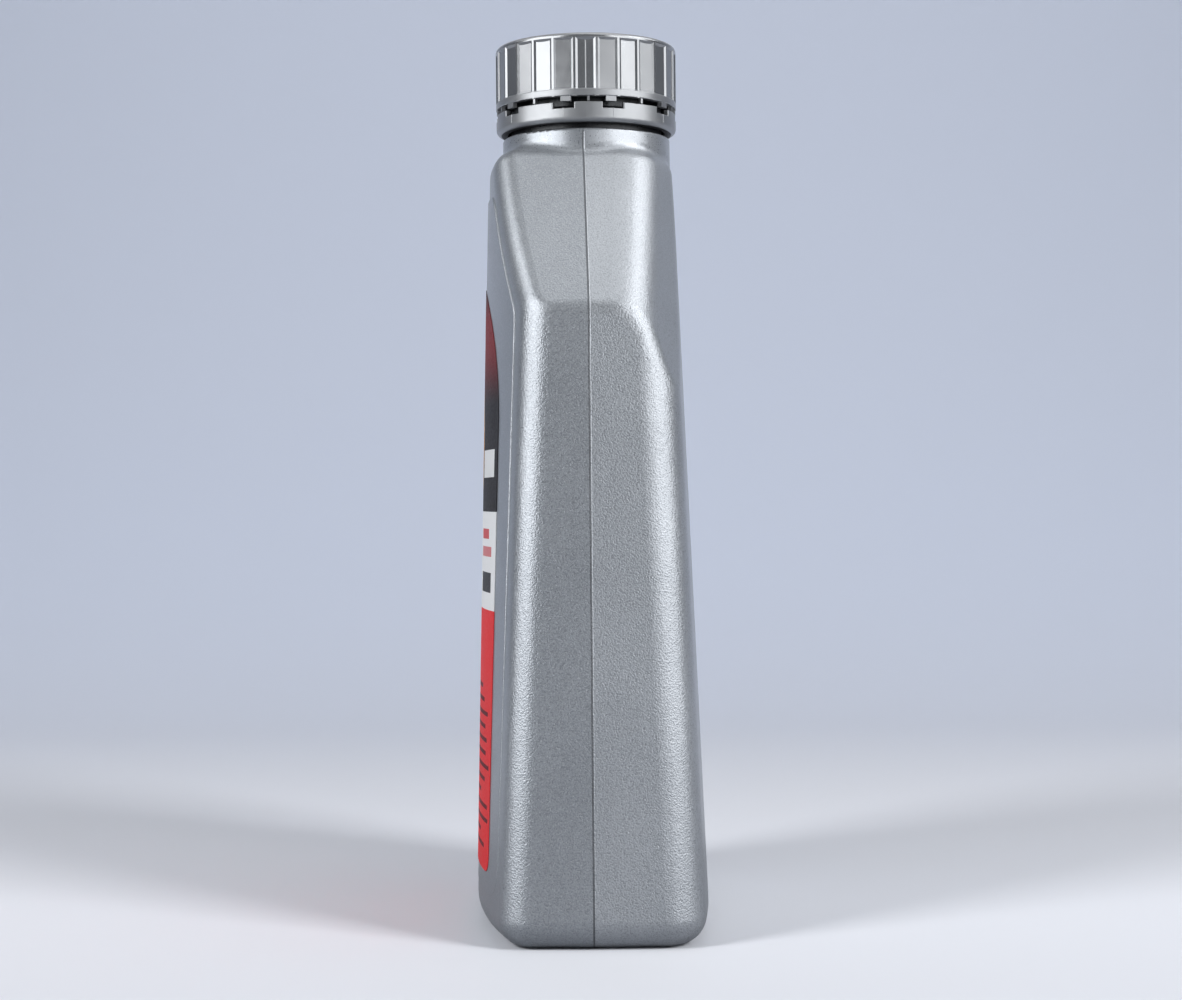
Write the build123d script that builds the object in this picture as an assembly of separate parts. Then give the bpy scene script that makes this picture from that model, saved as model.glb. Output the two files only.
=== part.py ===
from build123d import *
import os
from math import cos, radians, sin, sqrt, tan

os.makedirs("parts", exist_ok=True)

# One litre oil bottle, in millimetres. The label faces -Y, the narrow sides face +X and -X, and +Z is up.
# The origin is the middle of the foot, on the surface that the bottle stands on.

# Body of the bottle
body_width = 115.0        # across the two narrow sides, at the foot
side_lean = 1.0           # how far each narrow side leans in between foot and roof
mould_draft = 1.8         # degrees that sides and shoulders fall away from the parting plane, front and back
body_depth = 62.4         # front to back, at the foot
roof_front = 3.4          # how far the front lies outside the collar, at the roof
roof_back = 0.1           # how far the back lies outside the collar, at the roof
front_bow_foot = 180.0    # plan radius of the bowed front, at the foot
front_bow_roof = 125.0    # plan radius of the bowed front, at the roof
back_bow = 500.0          # plan radius of the bowed back
front_corner = 9.0        # radius of the two upright edges beside the label
back_corner = 11.0        # radius of the two upright edges at the back
foot_round = 7.5          # radius all round the foot
wall = 1.1                # thickness of the blown wall
dish_depth = 3.0          # how far the underside is pushed up
dish_border = 15.0        # from the outside of the foot to the pushed-up part
dish_corner = 10.0        # plan radius of its corners
dish_slope = 45.0         # degrees, lean of its edge

# Shoulders
shoulder_height = 160.0   # top edge of the narrow sides
shoulder_rise = 44.5      # from there to the roof round the neck
shoulder_edge = 6.5       # radius along the edges of the shoulders and of the roof round the neck
cheek_edge = 14.0         # radius where a sloping shoulder turns into the cheek behind it
cheek_turn = 66.0         # degrees, plan direction that each flat cheek at the back faces, from the side
cheek_cut = 7.8           # how far a cheek cuts into the top edge of the narrow side, from the back
cheek_neck_gap = 0.8      # how far a cheek stays outside the collar, at the roof

# Label panel and label
panel_side = 9.0          # from the narrow side to the raised panel on the front, at the foot
panel_bottom = 11.0       # height of its lower edge
panel_border = 7.0        # from the panel's sloping edges to the shoulder line
panel_top = 12.5          # from the panel's upper edge to the roof
panel_corner = 9.0        # radius of the panel's corners
panel_rise_foot = 0.05    # how far the panel stands out, at the foot
panel_rise_roof = 0.45    # how far it stands out, at the roof
panel_edge = 0.4          # radius round the panel's edge
label_side = 10.5         # from the side of the panel to the label, whose top is a half circle
label_bottom = 5.5        # from the lower edge of the panel to the label
label_drop = 35.5         # from the roof down to the top of its arch
label_corner = 4.0        # radius of its lower corners
label_film = 0.15         # thickness of the film
label_seat = 0.03         # adhesive gap between film and panel

# Cap
cap_radius = 24.5         # outside of the cap, over its ribs and rim
cap_wall = 1.65           # skirt of the cap, between its ribs
cap_height = 16.7         # from rim to top
tear_gap = 1.5            # open gap between band and rim
rim_height = 1.9          # plain ring at the foot of the skirt
rim_round = 0.3           # radius on its two edges
rib_count = 26            # upright grip ribs, with a flat between each two
rib_width = 0.6           # width of a rib's crest
rib_flank = 0.65          # how far each sloping side of a rib spreads, and the sloping top of a flat rises
rib_depth = 0.45          # how far a rib stands out
crown_lip = 0.1           # plain upright ring over ribs and flats, under the rounded top edge
cap_edge = 1.2            # radius round the top of the cap
cap_top_wall = 1.8        # thickness of the top
lug_width = 2.8           # small lugs under the rim, one above each notch
lug_height = 1.3          # how far a lug hangs below the rim
lug_depth = 1.2           # thickness of a lug
lug_inset = 0.2           # how far a lug sits behind the face of the rim
lug_turn = 1.5            # degrees that a lug sits nearer to the middle of its pair than its notch
bridge_width = 0.6        # torn bridges that hang from the rim
bridge_gap = 0.2          # hairline gap between a bridge and the band

# Seal in the cap
liner_thickness = 1.0     # sealing wad
liner_gap = 0.8           # clearance between wad and skirt

# Tamper band
band_step = 0.1           # how far the band sits behind the face of the rim
band_wall = 1.5           # thickness of the band
band_height = 5.2         # height of the band
band_lift = 1.3           # gap between collar and band
band_round = 1.3          # radius of the band's lower edge
hook_reach = 1.5          # how far the hook on the band reaches in under the bead
hook_height = 1.7         # height of that hook
hook_gap = 0.3            # clearance between hook and bead
notch_groups = 5          # pairs of notches round the band
notch_turn = 1.6          # degrees from the +X side to the middle of the first pair
notch_spread = 15.8       # degrees, from the middle of a pair to each notch
notch_width = 5.7         # width of a notch
notch_depth = 1.6         # depth of a notch
notch_round = 0.3         # radius along the band's upper edge and its notches

# Neck
thread_room = 2.0         # between neck and skirt, where the threads engage
neck_wall = 2.0           # thickness of the neck
lip_round = 0.6           # radius on the rim of the mouth
bead_gap = 0.7            # clearance between the locking bead on the neck and the band
bead_height = 1.6         # height of that bead
bead_lead = 1.2           # height of the sloping lead-in above it
collar_step = 2.3         # how far the plain collar under the band stands out from the neck
collar_height = 5.3       # from the roof to the top of the collar
collar_round = 0.8        # radius of the collar's upper edge
neck_blend = 4.0          # hollow radius between collar and shoulders
throat_blend = 2.0        # the same on the inside, where the wall is thicker

# Radii that follow, from the cap inwards
cap_inside = cap_radius - rib_depth - cap_wall
liner_radius = cap_inside - liner_gap
neck_radius = cap_inside - thread_room
bore_radius = neck_radius - neck_wall
band_radius = cap_radius - band_step
band_inside = band_radius - band_wall
bead_radius = band_inside - bead_gap
hook_radius = band_inside - hook_reach
collar_radius = neck_radius + collar_step

# Heights that follow, from the roof up
roof_height = shoulder_height + shoulder_rise
collar_top = roof_height + collar_height
band_bottom = collar_top + band_lift
band_top = band_bottom + band_height
rim_bottom = band_top + tear_gap
cap_top = rim_bottom + cap_height
cap_ceiling = cap_top - cap_top_wall
mouth_height = cap_ceiling - liner_thickness

# How far front and back lean in between foot and roof
front_lean = body_depth / 2 - collar_radius - roof_front
back_lean = body_depth / 2 - collar_radius - roof_back

# Working sizes: for tools that only have to reach past the bottle, and for what counts as touching
reach = 2 * (body_width + body_depth)
touch = 0.01
group_step = 360 / notch_groups


def half_width(height):
    return body_width / 2 - side_lean * height / roof_height


def front_reach(height):
    return body_depth / 2 - front_lean * height / roof_height


def back_reach(height):
    return body_depth / 2 - back_lean * height / roof_height


def front_bow(height):
    return front_bow_foot + (front_bow_roof - front_bow_foot) * height / roof_height


def bow_drop(radius, x):
    return radius - sqrt(radius * radius - x * x)


def half_section(height, inset, front):
    """Level section of one mould half, drawn behind the parting plane: drafted sides and a bowed face."""
    side = half_width(height) - inset
    face = (front_reach(height) if front else back_reach(height)) - inset
    bow = (front_bow(height) if front else back_bow) - inset
    corner = (front_corner if front else back_corner) - inset
    face_side = side - (face - bow_drop(bow, side)) * tan(radians(mould_draft))
    face_end = face - bow_drop(bow, face_side)
    with BuildSketch(Plane.XY.offset(height)) as section:
        with BuildLine():
            Line((-side, 0), (side, 0))
            Line((side, 0), (face_side, face_end))
            ThreePointArc((face_side, face_end), (0, face), (-face_side, face_end))
            Line((-face_side, face_end), (-side, 0))
        make_face()
        fillet(section.vertices().sort_by(Axis.Y)[-2:], corner)
    return section.sketch.face()


def half_barrel(inset, top_inset, bottom, front):
    """One leaning mould half before its shoulders are cut."""
    top = roof_height + shoulder_edge
    return loft([half_section(bottom, inset, front), half_section(top, top_inset, front)], ruled=True)


def shoulder_slope():
    """Rise of the shoulder line for each millimetre inwards."""
    return shoulder_rise / (half_width(shoulder_height) - collar_radius)


def gable(inset):
    """Front outline of the two sloping shoulders, run backwards from the parting plane with its draft."""
    slope = shoulder_slope()
    drop = inset * sqrt(1 + slope * slope)
    outer_z = roof_height - drop - (body_width - collar_radius) * slope
    peak_z = roof_height - drop + collar_radius * slope
    with BuildSketch(Plane.XZ) as outline:
        with BuildLine():
            Polyline(
                (-body_width, outer_z - reach),
                (body_width, outer_z - reach),
                (body_width, outer_z),
                (0, peak_z),
                (-body_width, outer_z),
                close=True,
            )
        make_face()
    return mirror(extrude(outline.sketch, body_depth, taper=mould_draft), Plane.XZ)


def cheek_cutter(inset):
    """Everything outside the flat cheek that slants across the back corner on the +X side."""
    turn = radians(cheek_turn)
    ring = collar_radius + cheek_neck_gap
    side = half_width(shoulder_height)
    corner_y = back_reach(shoulder_height) - bow_drop(back_bow, side)
    side_reach = side * cos(turn) + (corner_y - cheek_cut) * sin(turn)
    face_normal = Vector(cos(turn), sin(turn), (side_reach - ring) / shoulder_rise).normalized()
    start = Vector(ring * cos(turn), ring * sin(turn), roof_height) - face_normal * inset
    face = Plane(origin=start, z_dir=face_normal)
    return extrude(face * Rectangle(reach, reach), reach / 2)


def shoulder_block(inset, front):
    """The two slopes of one mould half, at the back each rounded into the cheek behind it."""
    slopes = gable(inset)
    if front:
        return slopes
    cheek = cheek_cutter(inset)
    cheeks = [cheek, mirror(cheek, Plane.YZ)]
    block = slopes - cheeks
    turn = radians(cheek_turn)
    edge_y = (collar_radius * (1 - cos(turn)) + cheek_neck_gap) / sin(turn)
    edges = new_edges(slopes, *cheeks, combined=block)
    bends = [edges.sort_by_distance((x, edge_y, roof_height))[0] for x in (-collar_radius, collar_radius)]
    return fillet(bends, cheek_edge - inset)


def off_parting(edges):
    """The edges that don't lie in the parting plane."""
    return edges.filter_by(lambda edge: edge.center().Y > touch)


def body_half(inset, bottom, blend, front):
    """One mould half moved in by inset, with rounded shoulders and foot, and half of the plain collar."""
    trunk = half_barrel(inset, inset, bottom, front)
    shoulders = shoulder_block(inset, front)
    below_roof = Box(reach, reach, reach, align=(Align.CENTER, Align.CENTER, Align.MAX))
    below_roof = Pos(0, 0, roof_height - inset) * below_roof
    shaped = trunk & shoulders & below_roof
    ridges = new_edges(trunk, shoulders, below_roof, combined=shaped)
    shaped = fillet(off_parting(ridges), shoulder_edge - inset)
    foot = shaped.faces().sort_by(Axis.Z)[0].edges()
    shaped = fillet(off_parting(foot), foot_round - inset)
    collar = Cylinder(
        collar_radius - inset,
        collar_top - inset - shoulder_height,
        arc_size=180,
        align=(Align.NONE, Align.NONE, Align.MIN),
    )
    collar = Pos(0, 0, shoulder_height) * collar
    joined = shaped + collar
    return fillet(off_parting(new_edges(shaped, collar, combined=joined)), blend)


def body_form(inset, bottom, blend):
    """The two mould halves, joined at the parting plane."""
    front = mirror(body_half(inset, bottom, blend, True), Plane.XZ)
    return body_half(inset, bottom, blend, False).fuse(front, tol=touch).clean()


def panel_outline():
    """Front outline of the raised label panel, which keeps its distance from the shoulder line."""
    slope = shoulder_slope()
    drop = panel_border * sqrt(1 + slope * slope)
    side = body_width / 2 - panel_side
    top = roof_height - panel_top
    top_x = collar_radius + (roof_height - drop - top) / slope
    side_z = roof_height - drop - (side - collar_radius) * slope
    with BuildSketch(Plane.XZ) as outline:
        with BuildLine():
            Polyline(
                (-side, panel_bottom),
                (side, panel_bottom),
                (side, side_z),
                (top_x, top),
                (-top_x, top),
                (-side, side_z),
                close=True,
            )
        make_face()
        fillet(outline.vertices(), panel_corner)
    return outline.sketch


def label_outline():
    """Front outline of the label: straight sides under a half circle."""
    side = body_width / 2 - panel_side - label_side
    bottom = panel_bottom + label_bottom
    top = roof_height - label_drop
    arch = top - side
    with BuildSketch(Plane.XZ) as outline:
        with BuildLine():
            Line((-side, bottom), (side, bottom))
            Line((side, bottom), (side, arch))
            ThreePointArc((side, arch), (0, top), (-side, arch))
            Line((-side, arch), (-side, bottom))
        make_face()
        fillet(outline.vertices().sort_by(Axis.Y)[:2], label_corner)
    return outline.sketch


def to_front(outline):
    """Run a front outline from the middle of the bottle out past its front."""
    return extrude(outline, reach / 2, dir=(0, -1, 0))


def front_shell(lift):
    """The front mould half, moved out to lie on the panel or higher by lift."""
    return mirror(half_barrel(-panel_rise_foot - lift, -panel_rise_roof - lift, 0, True), Plane.XZ)


def make_panel():
    """Raised panel that carries the label, with a round edge."""
    panel = to_front(panel_outline()) & front_shell(0)
    return fillet(panel.faces().sort_by(Axis.Y)[0].edges(), panel_edge)


def dish(grow):
    """The push-up in the underside, or, grown by the wall, its bulge into the cavity."""
    border = dish_border - grow
    rim = RectangleRounded(body_width - 2 * border, body_depth - 2 * border, dish_corner + grow)
    return extrude(rim, dish_depth + grow, taper=dish_slope)


def ring(profile):
    """Turn a list of radius and height pairs round the neck."""
    with BuildSketch(Plane.XZ) as half:
        with BuildLine():
            Polyline(*profile, close=True)
        make_face()
    return revolve(half.sketch, Axis.Z)


def tube(inside, outside, bottom, top):
    """A plain ring round the neck."""
    return ring([(inside, bottom), (outside, bottom), (outside, top), (inside, top)])


def turned_box(angle, radius, depth, width, bottom, top):
    """A block on the neck's circle, from radius outwards by depth, centred on an angle."""
    block = Box(depth, width, top - bottom, align=(Align.MIN, Align.CENTER, Align.MIN))
    return Rot(0, 0, angle) * Pos(radius, 0, bottom) * block


def notch_angles(spread):
    """Angles of the pairs round the band, the first pair either side of the +X side."""
    middles = [notch_turn + group * group_step for group in range(notch_groups)]
    return [middle + sign * spread for middle in middles for sign in (-1, 1)]


def make_bottle():
    form = body_form(0, 0, neck_blend)
    form = fillet(form.faces().sort_by(Axis.Z)[-1].edges(), collar_round)
    form = form + make_panel() - dish(0)
    bead_bottom = band_bottom + hook_height + hook_gap
    bead_top = bead_bottom + bead_height
    finish = ring([
        (0, shoulder_height),
        (neck_radius, shoulder_height),
        (neck_radius, bead_bottom),
        (bead_radius, bead_bottom),
        (bead_radius, bead_top),
        (neck_radius, bead_top + bead_lead),
        (neck_radius, mouth_height),
        (0, mouth_height),
    ])
    finish = fillet(finish.faces().sort_by(Axis.Z)[-1].edges(), lip_round)
    cavity = body_form(wall, wall, throat_blend) - dish(wall)
    bore = tube(0, bore_radius, shoulder_height, cap_top)
    return form + finish - cavity - bore


def make_label():
    return (front_shell(label_seat + label_film) - front_shell(label_seat)) & to_front(label_outline())


def make_band():
    shell = ring([
        (hook_radius, band_bottom),
        (band_radius, band_bottom),
        (band_radius, band_top),
        (band_inside, band_top),
        (band_inside, band_bottom + hook_height),
        (hook_radius, band_bottom + hook_height),
    ])
    lower_edge = shell.faces().sort_by(Axis.Z)[0].edges().sort_by(SortBy.RADIUS)[-1]
    shell = fillet(lower_edge, band_round)
    notches = [
        turned_box(angle, neck_radius, band_radius, notch_width, band_top - notch_depth, cap_top)
        for angle in notch_angles(notch_spread)
    ]
    shell = shell - notches
    face = shell.faces().filter_by(GeomType.CYLINDER).sort_by(SortBy.AREA)[-1]
    upper = face.edges().filter_by(lambda edge: edge.center().Z > band_bottom + band_round + touch)
    return fillet(upper, notch_round)


def make_cap():
    panel_radius = cap_radius - rib_depth
    rib_step = 360 / rib_count
    rib_foot = rib_width / 2 + rib_flank
    with BuildSketch(Plane.XY.offset(rim_bottom)) as section:
        RegularPolygon(panel_radius, rib_count, major_radius=False, rotation=rib_step / 2)
        with PolarLocations(0, rib_count, start_angle=rib_step / 2):
            Polygon(
                (cap_inside, -rib_foot),
                (panel_radius, -rib_foot),
                (cap_radius, -rib_width / 2),
                (cap_radius, rib_width / 2),
                (panel_radius, rib_foot),
                (cap_inside, rib_foot),
                align=None,
            )
    crown_bottom = cap_top - cap_edge - crown_lip
    skirt = extrude(section.sketch, crown_bottom - rim_bottom)
    skirt = skirt & tube(0, cap_radius, rim_bottom, crown_bottom)
    crown = ring([
        (0, crown_bottom - rib_flank),
        (panel_radius, crown_bottom - rib_flank),
        (cap_radius, crown_bottom),
        (cap_radius, cap_top),
        (0, cap_top),
    ])
    crown = fillet(crown.faces().sort_by(Axis.Z)[-1].edges(), cap_edge)
    rim = tube(0, cap_radius, rim_bottom, rim_bottom + rim_height)
    rim = fillet(rim.edges().filter_by(GeomType.CIRCLE), rim_round)
    hollow = tube(0, cap_inside, rim_bottom - lug_height, cap_ceiling)
    lugs = [
        turned_box(
            angle,
            cap_radius - lug_inset - lug_depth,
            lug_depth,
            lug_width,
            rim_bottom - lug_height,
            rim_bottom + rim_height / 2,
        )
        for angle in notch_angles(notch_spread - lug_turn)
    ]
    bridges = [
        turned_box(
            notch_turn + step * group_step / 2,
            band_inside + bridge_gap,
            band_wall - 2 * bridge_gap,
            bridge_width,
            band_top + bridge_gap,
            rim_bottom + rim_height / 2,
        )
        for step in range(2 * notch_groups)
    ]
    return skirt + crown + rim + lugs + bridges - hollow


def make_liner():
    return tube(0, liner_radius, mouth_height, cap_ceiling)


pieces = {
    "bottle": make_bottle(),
    "front_label": make_label(),
    "tamper_band": make_band(),
    "cap": make_cap(),
    "cap_liner": make_liner(),
}
for name, piece in pieces.items():
    export_step(piece, f"parts/{name}.step")
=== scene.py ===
import math

import bpy
from mathutils import Matrix, Vector


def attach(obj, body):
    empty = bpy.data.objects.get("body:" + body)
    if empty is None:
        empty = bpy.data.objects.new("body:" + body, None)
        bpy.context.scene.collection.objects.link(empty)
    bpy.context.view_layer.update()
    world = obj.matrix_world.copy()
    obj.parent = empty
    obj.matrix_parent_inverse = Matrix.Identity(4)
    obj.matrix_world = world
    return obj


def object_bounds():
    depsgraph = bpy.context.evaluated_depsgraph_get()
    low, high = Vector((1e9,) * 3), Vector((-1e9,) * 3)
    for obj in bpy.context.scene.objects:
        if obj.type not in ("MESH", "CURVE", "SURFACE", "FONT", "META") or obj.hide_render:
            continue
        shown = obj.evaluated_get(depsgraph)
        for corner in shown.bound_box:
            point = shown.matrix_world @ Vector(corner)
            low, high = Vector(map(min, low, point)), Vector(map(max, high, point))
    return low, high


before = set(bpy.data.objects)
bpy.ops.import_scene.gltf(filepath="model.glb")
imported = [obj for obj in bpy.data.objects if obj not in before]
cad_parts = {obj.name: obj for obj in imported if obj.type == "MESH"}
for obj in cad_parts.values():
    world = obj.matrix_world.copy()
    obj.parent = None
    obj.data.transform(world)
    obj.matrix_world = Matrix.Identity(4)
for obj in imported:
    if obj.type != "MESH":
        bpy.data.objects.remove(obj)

CAD_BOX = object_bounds()

MM = 0.001

# View of the photograph, worked out from the rings of the cap and the upright edges
PHOTO_WIDTH = 1182
PHOTO_HEIGHT = 1000
FOCAL_PIXELS = 2190           # focal length of the photograph
HORIZON_ROW = 495             # picture row at the height of the camera
AXIS_COLUMN = 589.4           # picture column of the bottle's axis, on that row
CAMERA_REACH = 598 * MM       # from the bottle's axis to the camera
CAMERA_HEIGHT = 113.1 * MM
CAMERA_ROLL = -0.5            # degrees that the photograph leans
SENSOR_WIDTH = 36.0           # millimetres

# Bottle, band and cap, as in the solids
SHOULDER = 160.0 * MM
ROOF = 204.5 * MM
NECK_RADIUS = 20.4 * MM
BAND_RADIUS = 24.4 * MM
BAND_BOTTOM = 211.1 * MM
BAND_TOP = 216.3 * MM
NOTCH_DEPTH = 1.6 * MM
NOTCH_PAIRS = 5
NOTCH_MIDDLE = 1.6            # degrees from +X to the middle of the first pair
NOTCH_SPREAD = 15.8           # degrees from the middle of a pair to each of its notches
SKIRT_RADIUS = 22.4 * MM      # inside of the cap
PANEL_RADIUS = 24.05 * MM     # outside of the cap between its ribs
RIM_TOP = 219.7 * MM
CAP_SHOULDER = 232.4 * MM
PITCH = 6.0 * MM              # rise of the cap for one turn

# Mould seam and mould lines
SEAM_FOOT = 0.5 * MM          # place of the seam along Y, up to the shoulder
SEAM_ROOF = -0.6 * MM         # and at the roof
SEAM_LOW = 2.0 * MM
SEAM_HIGH = 208.6 * MM
SEAM_STEPS = 220
FOOT_SEAM_REACH = 41.0 * MM   # half the length of the seam under the foot
FOOT_SEAM_STEPS = 100
BOX_GAP = 0.01 * MM           # left between the seam and the CAD box
BAND_LINE_RISE = 1.3 * MM     # from the bottom of the band to its lines

# Threads
NECK_CREST = 21.9 * MM
CAP_CREST = 20.9 * MM
NECK_THREAD_HEIGHT = 219.6 * MM
NECK_THREAD_START = 0.10      # in turns from +X
CAP_THREAD_START = 0.60
THREAD_DROP = 0.3 * PITCH     # from the neck's thread down to the cap's
THREAD_STEPS = 96             # for each turn
THREAD_RUN_OUT = 0.09         # part of a turn in which a thread leaves its wall
THREAD_SINK = 0.15 * MM
THREAD_FOOT = 1.25 * MM       # half the width of a thread at its wall
THREAD_LAND = 0.45 * MM       # and at its crest

# Colours of the bottle, the cap and the liner; a pair is blended by noise
# Painted shade and light: the front mould half is darker, the back half lighter
SHADED_FRONT_HALF = (0.320, 0.342, 0.370), (0.345, 0.368, 0.397)
LIT_BACK_HALF = (0.378, 0.400, 0.429), (0.406, 0.429, 0.459)
# Painted shade for the hollows of the grain
PIT_SHADE = (0.17, 0.180, 0.196)
FLECK = (0.55, 0.57, 0.60)
# Painted shade: the dark side of the seam, and the neck behind the band
SEAM_SHADE = (0.06, 0.064, 0.07)
NECK_SHADE = (0.02, 0.021, 0.023)
CLOSURE = (0.298, 0.308, 0.322), (0.326, 0.336, 0.350)
# Painted shade for the inside of the cap and the band
CLOSURE_INSIDE_SHADE = (0.03, 0.031, 0.034)
FOAM = (0.66, 0.66, 0.63), (0.82, 0.82, 0.79)

# Print of the label
RED = (0.70, 0.040, 0.044)
BLACK = (0.028, 0.027, 0.030)
WHITE = (0.76, 0.77, 0.78)
GLOW = (0.17, 0.030, 0.034)
DROP = (0.62, 0.30, 0.045)
LINE = (0.10, 0.012, 0.016)
WHITE_LOW = 83.5 * MM
WHITE_HIGH = 109 * MM
DROP_LOW = 112 * MM
DROP_HIGH = 152 * MM
DROP_SPREAD = 33.8 * MM       # 2.6 times half the width of the drop
LINES_LOW = 22 * MM
LINES_MIDDLE = 44 * MM
LINES_REACH = 22 * MM         # from the middle of the lines up and down
LINE_SPACING = 3.4 * MM
LINE_SHARE = 0.34             # thickness of a line, as a share of the spacing
LINE_SHORT = 22 * MM          # half the length of the shortest line
LINE_LONG = 36 * MM           # and of the longest
BAR_START = 15 * MM           # inner end of each bar, from the middle of the label
BARS = (                      # middle, half height and outer end in millimetres, and colour
    (121.5, 3.6, 34.5, (0.70, 0.71, 0.72)),
    (103.2, 1.3, 29.0, (0.55, 0.10, 0.11)),
    (98.6, 1.3, 33.0, (0.56, 0.20, 0.21)),
    (90.6, 2.6, 33.0, (0.05, 0.05, 0.055)),
)

# Stage
FLOOR = (0.74, 0.755, 0.80)
# Painted shade: the floor in front of the bottle
FLOOR_NEAR_SHADE = (0.645, 0.66, 0.705)
FLOOR_BACK = (0.765, 0.825, 0.965)
# Painted shade: the floor near the bottle, for rays other than the camera's
FLOOR_UNSEEN_SHADE = (0.32, 0.33, 0.36)
SKY = (0.80, 0.86, 0.96)
SKY_STRENGTH = 0.12


# Materials

class Nodes:
    """Short way to add and link the nodes of one material."""

    def __init__(self, name):
        self.material = bpy.data.materials.new(name)
        self.material.use_nodes = True
        self.tree = self.material.node_tree
        self.shader = self.tree.nodes["Principled BSDF"]
        self.coords = self.tree.nodes.new("ShaderNodeTexCoord")

    def add(self, kind, inputs=None, **settings):
        node = self.tree.nodes.new("ShaderNode" + kind)
        for key, value in settings.items():
            setattr(node, key, value)
        for key, value in (inputs or {}).items():
            self.put(node.inputs[key], value)
        return node

    def put(self, socket, value):
        """Links the socket to another one, or gives it a plain value."""
        if isinstance(value, bpy.types.NodeSocket):
            self.tree.links.new(value, socket)
        else:
            socket.default_value = value

    def math(self, operation, first, second=0.0):
        return self.add("Math", {0: first, 1: second}, operation=operation).outputs[0]

    def plus(self, first, second):
        return self.math("ADD", first, second)

    def times(self, first, second):
        return self.math("MULTIPLY", first, second)

    def within(self, value, middle, reach):
        """1 where the value is less than reach from the middle, 0 elsewhere."""
        away = self.math("ABSOLUTE", self.math("SUBTRACT", value, middle))
        return self.math("LESS_THAN", away, reach)

    def ramp(self, value, low, high, start=0.0, end=1.0, smooth=True):
        """Value moved from the range low to high into start to end, and held there."""
        kind = "SMOOTHSTEP" if smooth else "LINEAR"
        inputs = {
            "Value": value,
            "From Min": low,
            "From Max": high,
            "To Min": start,
            "To Max": end,
        }
        return self.add("MapRange", inputs, interpolation_type=kind).outputs[0]

    def noise(self, scale, detail=2.0, roughness=0.5):
        inputs = {
            "Vector": self.coords.outputs["Object"],
            "Scale": scale,
            "Detail": detail,
            "Roughness": roughness,
        }
        return self.add("TexNoise", inputs).outputs["Fac"]

    def mix(self, factor, first, second):
        node = self.add("Mix", data_type="RGBA")
        self.put(node.inputs[0], factor)
        for index, colour in ((6, first), (7, second)):
            plain = isinstance(colour, tuple)
            self.put(node.inputs[index], (*colour, 1) if plain else colour)
        return node.outputs[2]

    def xyz(self):
        return self.add("SeparateXYZ", {0: self.coords.outputs["Object"]}).outputs

    def finish(self, **inputs):
        for key, value in inputs.items():
            self.put(self.shader.inputs[key.replace("_", " ")], value)
        return self.material


def bottle_plastic():
    """Silver-grey plastic: leather grain on the body, finer above, smooth at the neck."""
    n = Nodes("bottle_plastic")
    _, y, z = n.xyz()

    # Depth of the grain: less on the shoulders, least at the neck and on the front
    facing = n.add("SeparateXYZ", {0: n.coords.outputs["Normal"]}).outputs[1]
    body = n.ramp(z, 166 * MM, 154 * MM, 0.75, 1.0)
    below_neck = n.ramp(z, 208.5 * MM, 202.5 * MM, 0.10, 1.0)
    off_front = n.ramp(facing, -0.97, -0.80, 0.25, 1.0)
    depth = n.times(n.times(body, below_neck), off_front)

    # Grain, with a slow orange peel under it
    cells = n.add(
        "TexVoronoi",
        {
            "Vector": n.coords.outputs["Object"],
            "Scale": 2400.0,
            "Smoothness": 0.6,
            "Randomness": 1.0,
        },
        feature="SMOOTH_F1",
    ).outputs["Distance"]
    wander = n.noise(2100.0, 2.0, 0.5)
    grain = n.plus(n.times(cells, 0.6), n.times(wander, 0.8))
    peel = n.noise(260.0, 1.0, 0.4)
    height = n.plus(n.times(grain, depth), n.times(peel, 0.12))
    bump = n.add("Bump", {"Strength": 0.9, "Distance": 0.10 * MM, "Height": height})

    # Painted shade and light: the front half of the mould is painted a little darker than its back
    # half
    seam = n.ramp(z, SHOULDER, ROOF, SEAM_FOOT, SEAM_ROOF, smooth=False)
    behind = n.math("SUBTRACT", y, seam)
    cloud = n.ramp(n.noise(35.0, 2.0), 0.35, 0.65)
    front = n.mix(cloud, *SHADED_FRONT_HALF)
    back = n.mix(cloud, *LIT_BACK_HALF)
    tone = n.mix(n.ramp(behind, -0.1 * MM, 0.1 * MM), front, back)

    # Painted shade in the hollows of the grain, and bright flecks in the grain
    pit_shade = n.times(n.ramp(grain, 0.75, 0.45), n.ramp(depth, 0.4, 0.9))
    tone = n.mix(n.times(pit_shade, 0.45), tone, PIT_SHADE)
    flecks = n.ramp(n.noise(2600.0, 0.0), 0.60, 0.72)
    tone = n.mix(n.times(flecks, 0.28), tone, FLECK)

    # Painted shade: a dark line along the front of the seam, and painted shade on the neck behind
    # the band
    line_front = n.ramp(behind, -0.55 * MM, -0.38 * MM)
    line_back = n.ramp(behind, 0.12 * MM, -0.04 * MM)
    seam_shade = n.times(n.times(line_front, line_back), n.ramp(z, 210 * MM, 208 * MM))
    tone = n.mix(n.times(seam_shade, 0.75), tone, SEAM_SHADE)
    above_collar = n.ramp(z, 209.3 * MM, 209.9 * MM)
    neck_shade = n.times(above_collar, n.ramp(z, 219.5 * MM, 218.5 * MM))
    tone = n.mix(n.times(neck_shade, 0.95), tone, NECK_SHADE)

    rough = n.ramp(wander, 0.3, 0.7, 0.30, 0.39)
    rough = n.math("SUBTRACT", rough, n.ramp(z, 198 * MM, 205 * MM, 0.0, 0.03))
    return n.finish(Base_Color=tone, Metallic=0.70, Roughness=rough, Normal=bump.outputs[0])


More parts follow.
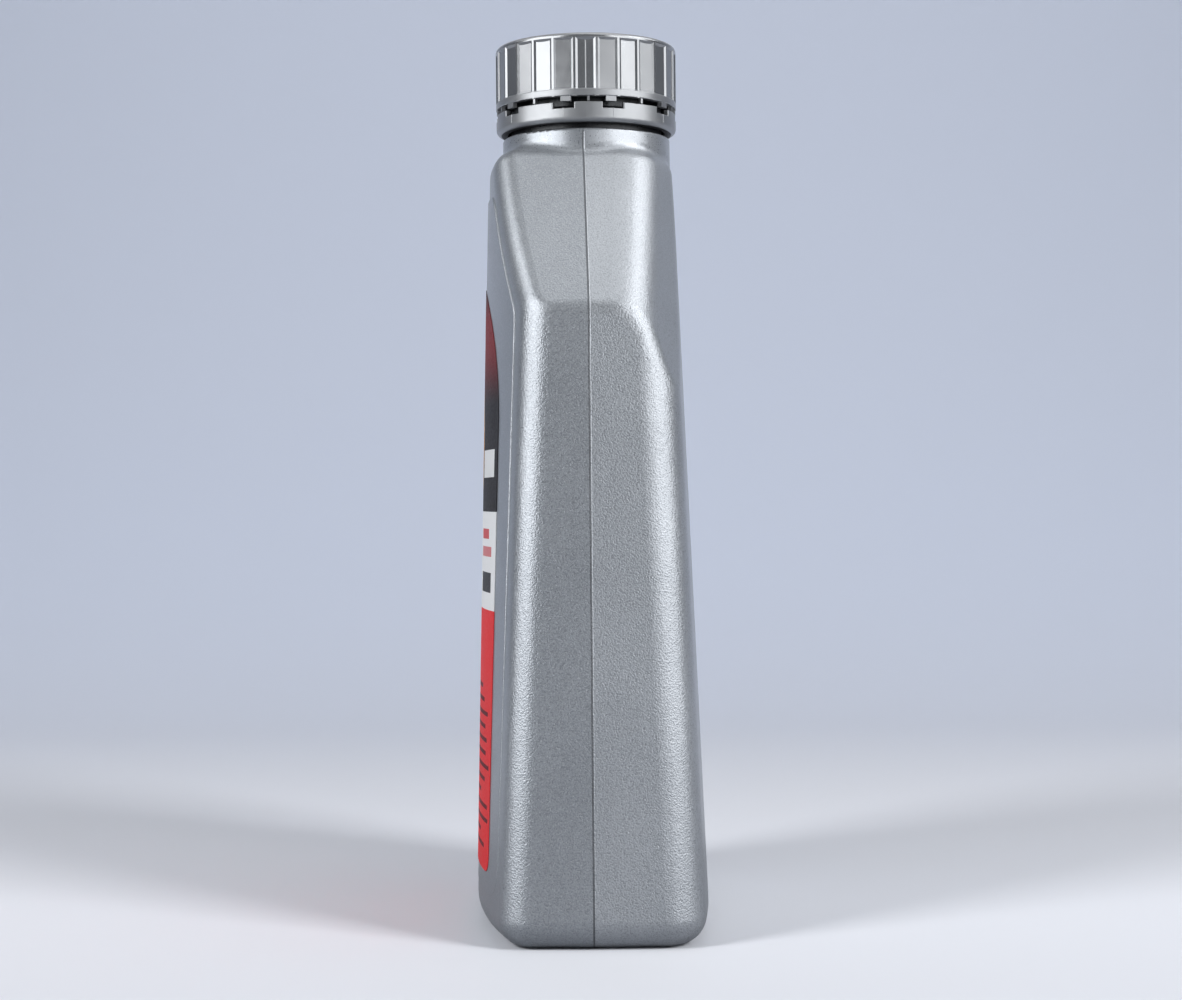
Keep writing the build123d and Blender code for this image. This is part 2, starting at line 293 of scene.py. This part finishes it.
def closure_plastic():
    """Shinier silver plastic of the cap and the band under it, dull at the rim and on top.

    The painted shade of the inside goes by the radius alone, so it also falls on the disc of the
    top.
    """
    n = Nodes("closure_plastic")
    x, y, z = n.xyz()
    around = n.math("SQRT", n.plus(n.times(x, x), n.times(y, y)))
    shaded_inside = n.ramp(around, 23.3 * MM, 22.95 * MM)
    low = n.ramp(z, RIM_TOP + 0.3 * MM, RIM_TOP)
    top = n.ramp(z, 233.7 * MM, 234.3 * MM)
    peel = n.noise(420.0, 2.0, 0.5)
    bump = n.add("Bump", {"Strength": 0.04, "Distance": 0.05 * MM, "Height": peel})
    tone = n.mix(n.ramp(n.noise(90.0), 0.35, 0.65), *CLOSURE)
    # Painted shade: near black inside the radius of the skirt
    colour = n.mix(n.times(shaded_inside, 0.9), tone, CLOSURE_INSIDE_SHADE)
    rough = n.ramp(peel, 0.3, 0.7, 0.17, 0.21)
    for mask, more in ((shaded_inside, 0.25), (low, 0.16), (top, 0.20)):
        rough = n.plus(rough, n.times(mask, more))
    metallic = n.ramp(top, 0.0, 1.0, 0.78, 0.40)
    return n.finish(
        Base_Color=colour, Metallic=metallic, Roughness=rough, Normal=bump.outputs[0]
    )


def label_print():
    """Printed film: a drop on black with a red glow, a white band, lines on red, and bars."""
    n = Nodes("label_print")
    x, _, z = n.xyz()
    aside = n.math("ABSOLUTE", x)

    glow = n.times(n.ramp(z, 136 * MM, 154 * MM), n.ramp(z, 170 * MM, 158 * MM))
    fade = n.mix(glow, BLACK, GLOW)
    low = n.mix(n.math("LESS_THAN", z, WHITE_LOW), WHITE, RED)
    field = n.mix(n.math("GREATER_THAN", z, WHITE_HIGH), low, fade)

    # The drop is widest a third of the way up
    up = n.ramp(z, DROP_LOW, DROP_HIGH, smooth=False)
    waist = n.times(n.math("SQRT", up), n.math("SUBTRACT", 1.0, up))
    drop = n.math("LESS_THAN", aside, n.times(waist, DROP_SPREAD))
    field = n.mix(drop, field, DROP)

    # Each line has a length of its own
    row = n.math("DIVIDE", n.math("SUBTRACT", z, LINES_LOW), LINE_SPACING)
    line = n.math("LESS_THAN", n.math("FRACT", row), LINE_SHARE)
    number = n.math("FLOOR", row)
    chance = n.add("TexWhiteNoise", {"W": number}, noise_dimensions="1D").outputs["Value"]
    inside = n.math("LESS_THAN", aside, n.ramp(chance, 0.0, 1.0, LINE_SHORT, LINE_LONG))
    lines = n.times(n.times(line, inside), n.within(z, LINES_MIDDLE, LINES_REACH))
    field = n.mix(lines, field, LINE)

    for middle, half, end, ink in BARS:
        bar = n.within(z, middle * MM, half * MM)
        bar = n.times(bar, n.math("LESS_THAN", aside, end * MM))
        bar = n.times(bar, n.math("GREATER_THAN", aside, BAR_START))
        field = n.mix(bar, field, ink)

    film = n.noise(1500.0, 2.0)
    bump = n.add("Bump", {"Strength": 0.10, "Distance": 0.03 * MM, "Height": film})
    rough = n.ramp(film, 0.3, 0.7, 0.46, 0.56)
    return n.finish(
        Base_Color=field, Roughness=rough, Normal=bump.outputs[0], Specular_IOR_Level=0.04
    )


def liner_foam():
    """Pale foamed sealing wad."""
    n = Nodes("liner_foam")
    cells = n.noise(1800.0, 3.0, 0.7)
    bump = n.add("Bump", {"Strength": 0.3, "Distance": 0.08 * MM, "Height": cells})
    return n.finish(Base_Color=n.mix(cells, *FOAM), Roughness=0.65, Normal=bump.outputs[0])


def floor_paint():
    """Pale floor: painted a little darker in front as shade, and bluer towards the backdrop.

    Painted shade: near the bottle, rays that don't come from the camera see it darker.
    """
    n = Nodes("floor_paint")
    x = n.xyz()[0]
    back = n.ramp(x, -0.15, -0.85)
    near_shade = n.ramp(x, -0.03, 0.13)
    colour = n.mix(near_shade, FLOOR, FLOOR_NEAR_SHADE)
    colour = n.mix(back, colour, FLOOR_BACK)
    seen = n.add("LightPath").outputs["Is Camera Ray"]
    unseen_shade = n.times(n.math("SUBTRACT", 1.0, seen), n.ramp(x, -0.20, -0.05))
    colour = n.mix(unseen_shade, colour, FLOOR_UNSEEN_SHADE)
    return n.finish(Base_Color=colour, Roughness=0.7)


def dress(node, material):
    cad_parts[node].material_slots[0].material = material


# Pieces that the solids leave to the looks

def smooth_mesh(name, points, faces, material):
    mesh = bpy.data.meshes.new(name)
    mesh.from_pydata(points, [], faces)
    mesh.update()
    for face in mesh.polygons:
        face.use_smooth = True
    mesh.materials.append(material)
    return mesh


def add_object(name, data):
    thing = bpy.data.objects.new(name, data)
    bpy.context.scene.collection.objects.link(thing)
    return thing


def add_piece(name, points, faces, material, body):
    piece = add_object(name, smooth_mesh(name, points, faces, material))
    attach(piece, body)


def strip_faces(start, rows, columns):
    """Faces of a grid of points stored row after row."""
    return [
        (start + r * columns + c, start + r * columns + c + 1,
         start + (r + 1) * columns + c + 1, start + (r + 1) * columns + c)
        for r in range(rows - 1)
        for c in range(columns - 1)
    ]


def thread(name, root, crest, start_z, start_turn, turns, material, body):
    """Screw thread: a bead that runs up a helix and sinks into its wall at both ends."""
    steps = int(turns * THREAD_STEPS)
    sink = THREAD_SINK if crest > root else -THREAD_SINK
    wall = root - sink
    points = []
    for i in range(steps + 1):
        turn = turns * i / steps
        angle = 2 * math.pi * (start_turn + turn)
        z = start_z + PITCH * turn
        ends = min(1.0, turn / THREAD_RUN_OUT, (turns - turn) / THREAD_RUN_OUT)
        reach = wall + (crest - root + sink) * math.sin(ends * math.pi / 2)
        outline = [
            (wall, -THREAD_FOOT), (reach, -THREAD_LAND), (reach, THREAD_LAND), (wall, THREAD_FOOT)
        ]
        for radius, rise in outline:
            points.append((radius * math.cos(angle), radius * math.sin(angle), z + rise))
    faces = strip_faces(0, steps + 1, len(outline))
    if crest < root:
        faces = [tuple(reversed(face)) for face in faces]
    add_piece(name, points, faces, material, body)


def ridge(path, points, faces, half=0.26 * MM, height=0.09 * MM, sink=0.04 * MM):
    """Adds a fine raised line along a path of places, outward directions and directions across."""
    flank = height * 0.75
    profile = [(-1.0, -sink), (-0.5, flank), (0.0, height), (0.5, flank), (1.0, -sink)]
    start = len(points)
    for place, out, across in path:
        points.extend(place + across * (step * half) + out * rise for step, rise in profile)
    faces.extend(strip_faces(start, len(path), len(profile)))


def mould_seam(material):
    """Parting line of the mould: up both narrow sides to the collar, and across the underside."""
    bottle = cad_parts["bottle"]
    outside, below = 0.2, -0.05
    points, faces = [], []
    for side in (1, -1):
        path = []
        for i in range(SEAM_STEPS + 1):
            z = SEAM_LOW + (SEAM_HIGH - SEAM_LOW) * i / SEAM_STEPS
            rise = min(1.0, max(0.0, (z - SHOULDER) / (ROOF - SHOULDER)))
            y = SEAM_FOOT + (SEAM_ROOF - SEAM_FOOT) * rise
            start = Vector((side * outside, y, z))
            _, place, out, _ = bottle.ray_cast(start, Vector((-side, 0, 0)))
            path.append((place, out, Vector((0, side, 0))))
        ridge(path, points, faces)
    path = []
    for i in range(FOOT_SEAM_STEPS + 1):
        x = -FOOT_SEAM_REACH + 2 * FOOT_SEAM_REACH * i / FOOT_SEAM_STEPS
        start = Vector((x, SEAM_FOOT, below))
        _, place, out, _ = bottle.ray_cast(start, Vector((0, 0, 1)))
        path.append((place, out, Vector((0, 1, 0))))
    ridge(path, points, faces, half=0.8 * MM, height=0.35 * MM)
    reach = CAD_BOX[1].x - BOX_GAP
    for point in points:
        point.x = min(reach, max(-reach, point.x))
    add_piece("mould_seam", points, faces, material, "bottle")


def upright_lines(name, angles, radius, low, high, material, body):
    """Fine upright mould lines round the cap or the band."""
    points, faces = [], []
    for angle in angles:
        out = Vector((math.cos(math.radians(angle)), math.sin(math.radians(angle)), 0))
        across = Vector((-out.y, out.x, 0))
        heights = (low, (low + high) / 2, high)
        path = [(out * radius + Vector((0, 0, z)), out, across) for z in heights]
        ridge(path, points, faces, half=0.16 * MM, height=0.05 * MM, sink=0.03 * MM)
    add_piece(name, points, faces, material, body)


# Camera, stage and light

def make_camera():
    """Camera level with the middle of the bottle, square to its +X side."""
    data = bpy.data.cameras.new("camera")
    data.sensor_width = SENSOR_WIDTH
    data.lens = data.sensor_width * FOCAL_PIXELS / PHOTO_WIDTH
    data.shift_y = (HORIZON_ROW - PHOTO_HEIGHT / 2) / PHOTO_WIDTH
    camera = add_object("camera", data)
    aside = (PHOTO_WIDTH / 2 - AXIS_COLUMN) * CAMERA_REACH / FOCAL_PIXELS
    quarter = math.radians(90)
    level = Matrix.Rotation(quarter, 4, "Z") @ Matrix.Rotation(quarter, 4, "X")
    roll = Matrix.Rotation(math.radians(CAMERA_ROLL), 4, "Z")
    place = Matrix.Translation((CAMERA_REACH, aside, CAMERA_HEIGHT))
    camera.matrix_world = place @ level @ roll
    bpy.context.scene.camera = camera


def make_stage():
    """Floor that sweeps up into a backdrop behind the bottle."""
    half, front, back, bend, top, steps = 3.0, 2.0, -0.45, 0.7, 2.4, 24
    line = [(front, 0.0), (back, 0.0)]
    for i in range(1, steps + 1):
        angle = math.radians(90) * i / steps
        line.append((back - bend * math.sin(angle), bend - bend * math.cos(angle)))
    line.append((back - bend, top))
    points = [(x, y, z) for x, z in line for y in (-half, half)]
    faces = strip_faces(0, len(line), 2)
    floor = add_object("floor", smooth_mesh("floor", points, faces, floor_paint()))


def add_light(name, place, aim, size, power):
    data = bpy.data.lights.new(name, "AREA")
    data.shape = "RECTANGLE"
    data.size, data.size_y = size
    data.energy = power
    lamp = add_object(name, data)
    lamp.location = place
    lamp.rotation_mode = "QUATERNION"
    lamp.rotation_quaternion = (Vector(aim) - Vector(place)).to_track_quat("-Z", "Y")
    return lamp


def make_lights():
    """Keys that cast the soft shadows, panels that show in the plastic alone, and one above."""
    # Name, place, point that it faces, width and height, power
    keys = (
        ("left key", (0.585, -0.749, 0.64), (0, 0, 0.12), (0.30, 0.45), 8.3),
        ("right key", (0.611, 0.728, 0.64), (0, 0, 0.12), (0.30, 0.45), 9.8),
    )
    panels = (
        ("left panel", (0.450, -0.721, 0.60), (0, 0, 0.55), (0.86, 1.25), 11.6),
        ("right panel", (0.450, 0.721, 0.60), (0, 0, 0.55), (0.86, 1.25), 9.0),
        ("right card", (0.937, 0.350, 0.20), (0, 0, 0.20), (0.37, 0.5), 0.8),
        ("high left panel", (-0.03, -0.67, 0.87), (0, 0, 0.2), (0.6, 0.4), 0.8),
        ("high right panel", (-0.06, 0.67, 0.87), (0, 0, 0.2), (0.6, 0.4), 2.2),
    )
    for key in keys:
        add_light(*key).visible_glossy = False
    for panel in panels:
        add_light(*panel).visible_diffuse = False
    add_light("top panel", (0.10, 0.16, 1.20), (0, 0, 0.2), (0.8, 0.8), 2.5)
    world = bpy.data.worlds.new("studio")
    world.use_nodes = True
    sky = world.node_tree.nodes["Background"]
    sky.inputs["Color"].default_value = (*SKY, 1)
    sky.inputs["Strength"].default_value = SKY_STRENGTH
    bpy.context.scene.world = world


make_camera()
make_stage()
make_lights()

plastic = bottle_plastic()
closure = closure_plastic()
dress("bottle", plastic)
dress("cap", closure)
dress("tamper_band", closure)
dress("front_label", label_print())
dress("cap_liner", liner_foam())

cap_thread_rise = (CAP_THREAD_START - NECK_THREAD_START) * PITCH
cap_thread_height = NECK_THREAD_HEIGHT - THREAD_DROP + cap_thread_rise
thread(
    "neck_thread", NECK_RADIUS, NECK_CREST, NECK_THREAD_HEIGHT, NECK_THREAD_START, 1.5,
    plastic, "bottle",
)
thread(
    "cap_thread", SKIRT_RADIUS, CAP_CREST, cap_thread_height, CAP_THREAD_START, 1.2,
    closure, "cap",
)
mould_seam(plastic)
notches = [
    NOTCH_MIDDLE + 360 / NOTCH_PAIRS * pair + sign * NOTCH_SPREAD
    for pair in range(NOTCH_PAIRS)
    for sign in (-1, 1)
]
upright_lines("cap_lines", [0, 180], PANEL_RADIUS, RIM_TOP, CAP_SHOULDER, closure, "cap")
upright_lines(
    "band_lines", notches, BAND_RADIUS, BAND_BOTTOM + BAND_LINE_RISE, BAND_TOP - NOTCH_DEPTH,
    closure, "bottle",
)

bpy.context.scene.view_settings.view_transform = "Standard"
